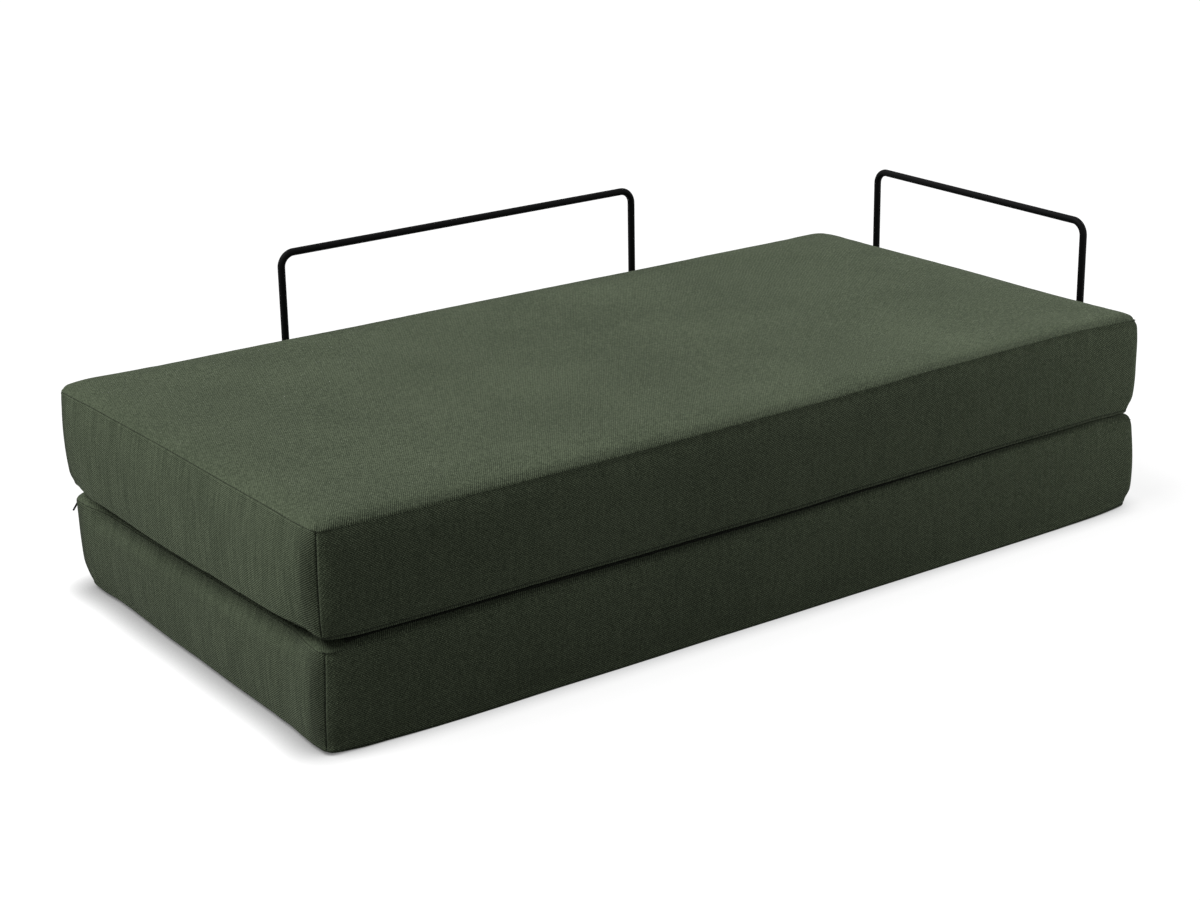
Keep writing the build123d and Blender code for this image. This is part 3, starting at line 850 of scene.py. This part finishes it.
def seam_stitches(fine):
    """Short stitches sunk in the seams round the cushion, but for the one on the floor, and in its upright seams."""
    total = fine.around[-1]
    count = int(total / STITCH_PITCH)
    around = np.arange(count) * total / count
    middles, along, out = [], [], []
    for share, lift in ((0.0, -1.0), (1.0, 1.0))[0 if fine.is_upper else 1:]:
        points = fine.band_points([share], around)[0]
        middles.append(points)
        along.append(np.roll(points, -1, 0) - np.roll(points, 1, 0))
        out.append(fine.outward(around) + [0, 0, lift])
    shares = np.arange(0.03, 0.975, STITCH_PITCH / (fine.spec["high_seam"] - fine.spec["low_seam"]))
    for column in fine.tips:
        points = cubic_weights(shares, fine.rows) @ fine.band[:, column]
        middles.append(points)
        along.append(np.gradient(points, axis=0))
        out.append(np.broadcast_to(fine.out[column], points.shape))
    middles, along, out = np.concatenate(middles), unit(np.concatenate(along)), unit(np.concatenate(out))
    spindles(
        f"{fine.mattress}_seam_stitches", fine.spec["body"], "cover_fabric", THREAD,
        middles + out * STITCH_HALVES[2], along, out, STITCH_HALVES)


# Cross-section of one zip tape: distance up from the teeth, and height above the band
TAPE_PROFILE = np.array([
    (2.3, -0.3), (2.5, 0.8), (3.1, 1.2), (3.7, 0.9), (4.3, 0.6), (8.0, 0.6), (11.2, 0.6), (11.5, -0.3)]) * MM
TAPE_STATIONS = 520


def zip_along(fine):
    """Both woven tapes of a zip along the rear band, and its teeth: two interleaved rows of small spindles."""
    mattress, spec, level = fine.mattress, fine.spec, ZIP_LEVEL[fine.mattress]
    low = spec["low_seam"] + REAR_RISE[mattress]
    height = spec["high_seam"] - low
    first, last = sorted(fine.around[fine.tips])[2:4]
    around = np.linspace(first, last, TAPE_STATIONS)
    strips = []
    for profile in (TAPE_PROFILE, TAPE_PROFILE[::-1] * (-1, 1)):
        points = fine.band_points((level + profile[:, 0] - low) / height, around)
        strips.append(points + fine.outward(around)[None] * profile[:, 1][:, None, None])
    faces = grid_faces(len(TAPE_PROFILE), TAPE_STATIONS)
    faces = np.concatenate([faces, faces + len(TAPE_PROFILE) * TAPE_STATIONS])
    tape = mesh_object(f"{mattress}_zip_tapes", np.concatenate(strips), faces)
    dress(tape, spec["body"], "zip_tape", ZIP_TAPE)
    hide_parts(f"{mattress}_zip_tape")
    count = int((last - first - 2 * ZIP_MARGIN) / TOOTH_PITCH)
    middles, outs = [], []
    for side in (-1, 1):
        around = first + ZIP_MARGIN + (np.arange(count) + 0.25 * side) * TOOTH_PITCH
        out = fine.outward(around)
        points = fine.band_points([(level + side * TOOTH_SET - low) / height], around)[0]
        middles.append(points + out * TOOTH_SET)
        outs.append(out)
    teeth = spindles(
        f"{mattress}_zip_tooth_rows", spec["body"], "zip_teeth", ZIP_TEETH, np.concatenate(middles),
        np.broadcast_to([0.0, 0.0, 1.0], (2 * count, 3)), np.concatenate(outs), TOOTH_HALVES)
    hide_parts(f"{mattress}_zip_teeth")


BEND_STATIONS, LEG_STATIONS, RUN_STATIONS, ROD_SIDES = 17, 12, 14, 40


def bent_rod(rail, feet, top):
    """Round rod through an upturned U: a circle carried up one leg, round two quarter bends and down the other."""
    first, second = np.array(feet)
    width = np.linalg.norm(second - first)
    run, upward = (second - first) / width, np.array([0, 0, 1.0])
    bend = np.linspace(0, math.pi / 2, BEND_STATIONS)
    leg = np.linspace(FOOT_TOP, top - ROD_BEND, LEG_STATIONS)[:-1]
    level = np.linspace(ROD_BEND, width - ROD_BEND, RUN_STATIONS)[1:-1]
    flat = np.concatenate([
        0 * leg, ROD_BEND * (1 - np.cos(bend)), level,
        width - ROD_BEND + ROD_BEND * np.sin(bend), 0 * leg + width])
    rise = np.concatenate([
        leg, top - ROD_BEND + ROD_BEND * np.sin(bend), 0 * level + top,
        top - ROD_BEND + ROD_BEND * np.cos(bend), leg[::-1]])
    line = first + flat[:, None] * run + rise[:, None] * upward
    side = np.cross(run, upward)
    inward = np.cross(side, unit(np.gradient(line, axis=0)))
    angles = (np.arange(ROD_SIDES) * TURN / ROD_SIDES)[:, None]
    rings = line[:, None] + ROD_RADIUS * (np.cos(angles) * inward[:, None] + np.sin(angles) * side)
    count = len(line) * ROD_SIDES
    faces = grid_faces(len(line), ROD_SIDES, closed=True).tolist()
    faces += [range(ROD_SIDES)[::-1], range(count - ROD_SIDES, count)]
    thing = mesh_object(f"{rail}_rod", rings, faces)
    dress(thing, rail, "rail_steel", ROD_BLACK)
    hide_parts(f"{rail}_loop")


# Cross-section of the hinge cloth: distance in from the front outline, and height above the contact of the two
# mattresses, the middle ones times how far the lower roll falls to its seam; both ends are sewn in below the covers
HINGE_INSETS = mm(9, 10.5, 12, 14, 15, 14, 12, 10.5, 9)
HINGE_FIXED = mm(-9, -5.8, 0, 0, 0, -0.8, -0.6, 2.5, 6)
HINGE_FALLING = (0, 0, -0.22, -0.17, -0.11, 0, 0, 0, 0)
HINGE_STATIONS, MEASURED_STATION, HINGE_FREE = 190, 80, 30 * MM


def hinge_cloth():
    """Cloth gusset of the front hinge, from the lower cover in along its roll to a fold, and back to the upper one.

    Returns it with its flat size: the arc of its cross-section at one station, and its length.
    """
    half = CORE_X - HINGE_FREE
    x = np.linspace(-half, half, HINGE_STATIONS)
    level = CONTACT_LEVEL + contact(x, 0 * x - HALF_DEPTH)
    fall = level - high_seam("lower", x, 0 * x - HALF_DEPTH)
    rows = np.stack([
        np.stack([x, 0 * x + inset - HALF_DEPTH, level + fixed + falling * fall], -1)
        for inset, fixed, falling in zip(HINGE_INSETS, HINGE_FIXED, HINGE_FALLING)])
    faces = grid_faces(len(rows), HINGE_STATIONS)
    flat = np.stack(np.broadcast_arrays(x, np.linspace(0, 30 * MM, len(rows))[:, None]), -1).reshape(-1, 2)
    thing = mesh_object("front_hinge_cloth", rows, faces, flat[faces.ravel()])
    # The hinge cloth takes the full painted shade over its dark colours
    for key, value in (("seam_distance", FAR), ("taut_and_shade", 1.0)):
        give_numbers(thing, key, np.full(len(flat), value))
    thick = thing.modifiers.new("thickness", "SOLIDIFY")
    thick.thickness, thick.offset = 0.8 * MM, 0
    thing.data.materials.append(HINGE_CLOTH_IN_SHADE)
    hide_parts("hinge_strip")
    return thing, np.linalg.norm(np.diff(rows[:, MEASURED_STATION], axis=0), axis=1).sum(), 2 * half


WHITE = (1, 1, 1, 1)


def make_floor():
    """Wide pale floor; seen directly it is white, but for the soft shade close to the object and its left end."""
    corners = 20.0 * np.array([(-1, -1, 0), (1, -1, 0), (1, 1, 0), (-1, 1, 0)])
    floor = mesh_object("studio_floor", corners, [[0, 1, 2, 3]])
    paint = Paint("studio_floor")
    plain = paint.node("BsdfDiffuse", {"Color": (0.22, 0.22, 0.22, 1)})
    shade = paint.node(
        "AmbientOcclusion", {"Distance": 0.058, "Normal": paint.joined(0.5, -0.35, 0.8)}, "AO", samples=12)
    glow = paint.node("Emission", {"Color": WHITE, "Strength": shade ** 1.05 * 0.86})
    pale = paint.node("AddShader", {0: plain, 1: glow})
    floor.data.materials.append(paint.end(paint.node("MixShader", {0: paint.seen(), 1: plain, 2: pale})))


def make_world(strength):
    """White to the eye, an even pale light to everything else."""
    paint = Paint("studio", bpy.data.worlds)
    ambient, white = (
        paint.node("Background", {"Color": WHITE, "Strength": power}) for power in (strength, 1.0))
    mix = paint.node("MixShader", {0: paint.seen(), 1: ambient, 2: white})
    scene.world = paint.end(mix, "World")


def lamp_at(name, kind, place, target, **settings):
    """Soft lamp at a place, turned to a target and not seen itself."""
    lamp = bpy.data.lights.new(name, kind)
    for key, value in settings.items():
        setattr(lamp, key, value)
    thing = new_object(name, lamp)
    thing.location = place
    thing.rotation_euler = (Vector(target) - Vector(place)).to_track_quat("-Z", "Y").to_euler()
    thing.visible_camera = False


SENSOR, IMAGE_WIDTH = 36.0, 1200


def make_camera():
    """Camera at the photograph's viewing angle; the focal length is in the photograph's pixels."""
    azimuth, elevation, roll = (math.radians(a) for a in (-35.93, 19.19, -0.89))
    target, distance, focal = Vector((-0.050, 0.0, 0.2215)), 5.063, 2456.1
    level = Vector((math.sin(azimuth), -math.cos(azimuth), 0))
    back = level * math.cos(elevation) + Vector((0, 0, math.sin(elevation)))
    right = (-back).cross(Vector((0, 0, 1))).normalized()
    up = right.cross(-back)
    turned_right = right * math.cos(roll) + up * math.sin(roll)
    turned_up = up * math.cos(roll) - right * math.sin(roll)
    data = bpy.data.cameras.new("camera")
    data.sensor_width, data.lens, data.clip_end = SENSOR, focal * SENSOR / IMAGE_WIDTH, 100
    camera = new_object("camera", data)
    turn = Matrix((turned_right, turned_up, back)).transposed().to_4x4()
    camera.matrix_world = Matrix.Translation(target + back * distance) @ turn
    scene.camera = camera


make_camera()
make_floor()
make_world(0.13)
lamp_at("key", "SUN", (-0.62, 0.22, 1.0), (0, 0, 0), energy=3.2, angle=math.radians(38))
lamp_at("side", "AREA", (1.95, -1.35, 0.85), (0.6, -0.4, 0.25), energy=8.0, size=0.8)

lower = make_cushion("lower")
upper = make_cushion("upper")
for cushion in (lower, upper):
    seam_stitches(cushion)
    zip_along(cushion)

hinge, arc, width = hinge_cloth()
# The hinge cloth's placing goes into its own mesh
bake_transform(hinge)

bent_rod("back_rail", [(x, BACK_RAIL_Y, 0) for x in BACK_LEGS_X], BACK_RAIL_TOP)
bent_rod("arm_rail", [(ARM_RAIL_X, y, 0) for y in ARM_LEGS_Y], ARM_RAIL_TOP)

# The carried-over CAD nodes
RAIL = {"feet": ROD_BLACK, "screws": SCREW_STEEL, "floor_pads": PAD_RUBBER}
ZIP = {"zip_slider": ZIP_METAL, "zip_pull": ZIP_METAL}
for owner, paints in (("back_rail", RAIL), ("arm_rail", RAIL), ("lower", ZIP), ("upper", ZIP)):
    for node, paint in paints.items():
        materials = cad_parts[f"{owner}_{node}"].data.materials
        materials.clear()
        materials.append(paint)

scene.view_settings.view_transform = "Standard"
